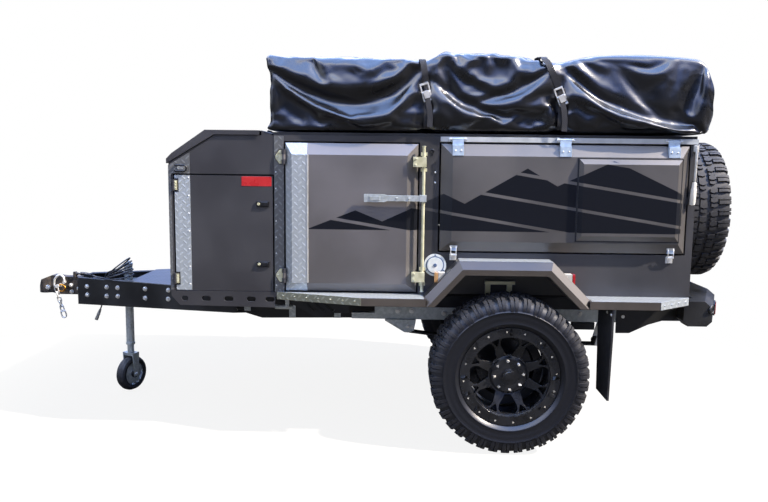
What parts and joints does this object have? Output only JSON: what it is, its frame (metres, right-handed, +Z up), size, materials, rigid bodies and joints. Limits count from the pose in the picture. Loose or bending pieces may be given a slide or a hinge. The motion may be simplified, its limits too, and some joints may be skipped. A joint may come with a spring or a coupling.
{
  "type": "off-road trailer",
  "caption": "Off-road camping trailer with a nose locker, side doors and hatches, a tail door that carries the spare wheel, and a roof tent under its cover.",
  "frame": {"origin": "on the ground, in the middle of the trailer's length and width", "axes": "+Z up, +X towards the rear of the trailer, +Y towards its right-hand side"},
  "size_m": [3.985, 1.874, 1.9568],
  "materials": {
    "body_paint": "satin charcoal paint",
    "panel_paint": "satin warm grey paint",
    "black_paint": "semi-gloss black powder coat",
    "galvanised": "galvanised",
    "bright_steel": "zinc plated",
    "chequer_plate": "rolled chequer plate",
    "wheel_black": "matt black",
    "tyre": "matt rubber",
    "rubber": "matt rubber",
    "tank": "moulded",
    "cover": "glossy coated PVC",
    "plywood": "painted board",
    "lamp": "moulded lens",
    "cap": "moulded",
    "cable": "PVC sheath"
  },
  "bodies": {
    "chassis": {"axle_beam": "galvanised", "axle_rails": "galvanised", "belly_tank": "tank", "bulkhead": "body_paint", "chassis_rails": "black_paint", "coupling": "black_paint", "cross_bearers": "black_paint", "drawbar": "black_paint", "drawbar_deck": "bright_steel", "filler_cap": "cap", "flare_left": "chequer_plate", "flare_right": "chequer_plate", "floor_pan": "body_paint", "hatch_rail_left": "bright_steel", "hatch_rail_right": "bright_steel", "jockey_clamp": "galvanised", "jockey_tube": "galvanised", "lamps": "lamp", "lead_coil": "cable", "lead_plug": "cable", "leaf_springs": "black_paint", "mud_flaps": "rubber", "nose_box": "body_paint", "rear_bumper": "black_paint", "rear_frame": "body_paint", "roof_panel": "body_paint", "shock_absorbers": "black_paint", "side_panel_left": "body_paint", "side_panel_right": "body_paint", "spring_shackles": "galvanised", "stone_guard": "chequer_plate", "tent_base": "plywood", "tent_cover": "cover", "trailer_lead": "cable"},
    "jockey_leg": {"jockey_leg": "galvanised"},
    "jockey_fork": {"jockey_fork": "galvanised"},
    "jockey_wheel": {"jockey_wheel": "rubber"},
    "nose_lid": {"nose_lid": "body_paint"},
    "tail_door": {"tail_door": "panel_paint", "spare_carrier": "black_paint", "spare_rim": "wheel_black", "spare_tyre": "tyre"},
    "wheel_left": {"road_tyre_left": "tyre", "road_rim_left": "wheel_black"},
    "side_door_left": {"side_door_left": "panel_paint", "door_lock_left": "bright_steel", "door_fold_left": "chequer_plate"},
    "hatch_left": {"hatch_left": "panel_paint", "hatch_hinges_left": "bright_steel"},
    "nose_door_left": {"nose_door_left": "body_paint", "nose_fold_left": "chequer_plate"},
    "wheel_right": {"road_tyre_right": "tyre", "road_rim_right": "wheel_black"},
    "side_door_right": {"side_door_right": "panel_paint", "door_lock_right": "bright_steel", "door_fold_right": "chequer_plate"},
    "hatch_right": {"hatch_right": "panel_paint", "hatch_hinges_right": "bright_steel"},
    "nose_door_right": {"nose_door_right": "body_paint", "nose_fold_right": "chequer_plate"}
  },
  "joints": [
    {"name": "wheel_left_spin", "type": "hinge", "parent": "chassis", "child": "wheel_left", "pos_m": [0.7345, -0.8045, 0.388], "axis": [0, 1, 0], "continuous": true},
    {"name": "wheel_right_spin", "type": "hinge", "parent": "chassis", "child": "wheel_right", "pos_m": [0.7345, 0.8045, 0.388], "axis": [0, 1, 0], "continuous": true},
    {"name": "jockey_lift", "type": "slide", "parent": "chassis", "child": "jockey_leg", "axis": [0, 0, 1], "range_m": [-0.2, 0.04]},
    {"name": "jockey_swivel", "type": "hinge", "parent": "jockey_leg", "child": "jockey_fork", "pos_m": [-1.4505, 0, 0.236], "axis": [0, 0, 1], "continuous": true},
    {"name": "jockey_roll", "type": "hinge", "parent": "jockey_fork", "child": "jockey_wheel", "pos_m": [-1.4505, 0, 0.105], "axis": [-0.9063, 0.4226, 0], "continuous": true},
    {"name": "side_door_left_hinge", "type": "hinge", "parent": "chassis", "child": "side_door_left", "pos_m": [-0.3755, -0.794, 1.14], "axis": [0, 0, -1], "range_deg": [0, 100]},
    {"name": "hatch_left_hinge", "type": "hinge", "parent": "chassis", "child": "hatch_left", "pos_m": [0.9845, -0.792, 1.529], "axis": [-1, 0, 0], "range_deg": [0, 95]},
    {"name": "nose_door_left_hinge", "type": "hinge", "parent": "chassis", "child": "nose_door_left", "pos_m": [-0.9215, -0.788, 1.06], "axis": [0, 0, -1], "range_deg": [0, 110]},
    {"name": "side_door_right_hinge", "type": "hinge", "parent": "chassis", "child": "side_door_right", "pos_m": [-0.3755, 0.794, 1.14], "axis": [0, 0, 1], "range_deg": [0, 100]},
    {"name": "hatch_right_hinge", "type": "hinge", "parent": "chassis", "child": "hatch_right", "pos_m": [0.9845, 0.792, 1.529], "axis": [1, 0, 0], "range_deg": [0, 95]},
    {"name": "nose_door_right_hinge", "type": "hinge", "parent": "chassis", "child": "nose_door_right", "pos_m": [-0.9215, 0.788, 1.06], "axis": [0, 0, 1], "range_deg": [0, 110]},
    {"name": "nose_lid_hinge", "type": "hinge", "parent": "chassis", "child": "nose_lid", "pos_m": [-0.4915, 0, 1.566], "axis": [0, 1, 0], "range_deg": [0, 70]},
    {"name": "tail_door_hinge", "type": "hinge", "parent": "chassis", "child": "tail_door", "pos_m": [1.6405, 0.706, 1.14], "axis": [0, 0, 1], "range_deg": [0, 110]}
  ]
}
